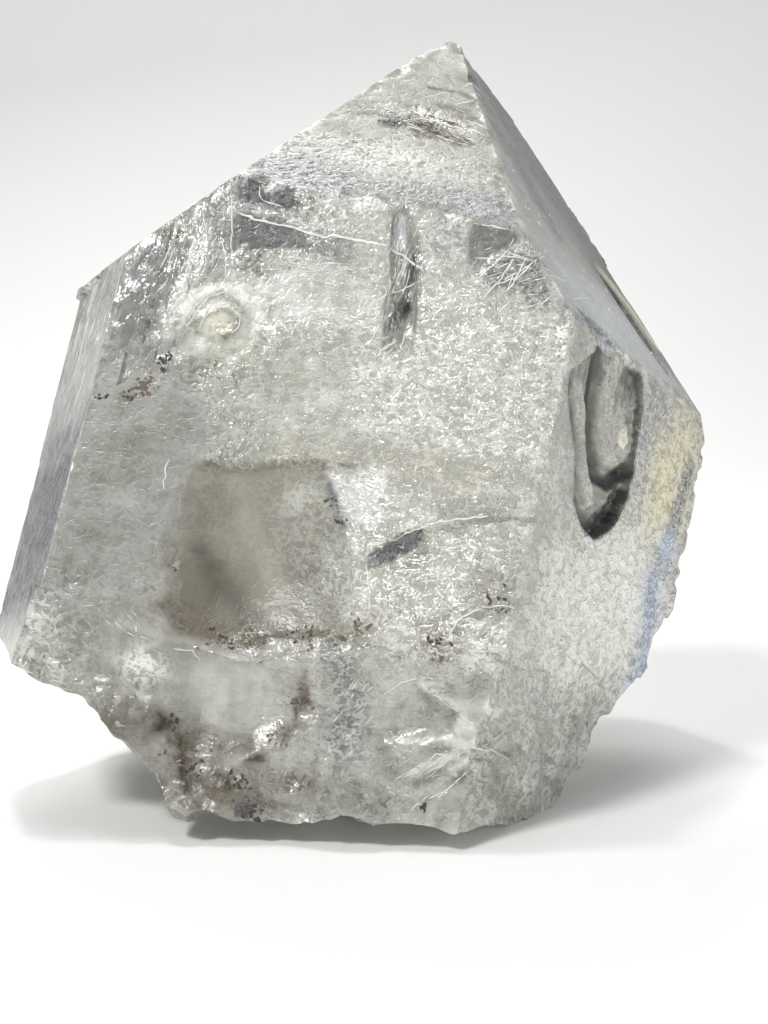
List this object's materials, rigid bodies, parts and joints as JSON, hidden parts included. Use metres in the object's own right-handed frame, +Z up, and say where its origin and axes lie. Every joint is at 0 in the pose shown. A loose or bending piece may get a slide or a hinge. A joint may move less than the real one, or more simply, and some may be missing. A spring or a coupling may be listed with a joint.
{
  "type": "herkimer diamond crystal",
  "caption": "Stout cloudy quartz crystal with a six-sided point, an eaten-in hollow and a broken base, resting tilted on a small flat spot.",
  "frame": {"origin": "centre of the object's box in plan, on the plane that the crystal rests on", "axes": "+Z up from the resting plane, -Y towards the front, the side with the largest prism face and the imprint, +X to the right seen from the front"},
  "size_m": [0.0708, 0.0562, 0.0743],
  "materials": {
    "cloudy_quartz": "cloudy see-through quartz, glassy on the faces and matt on the break, with brown and black specks"
  },
  "bodies": {
    "root": {"crystal": "cloudy_quartz"}
  },
  "joints": []
}
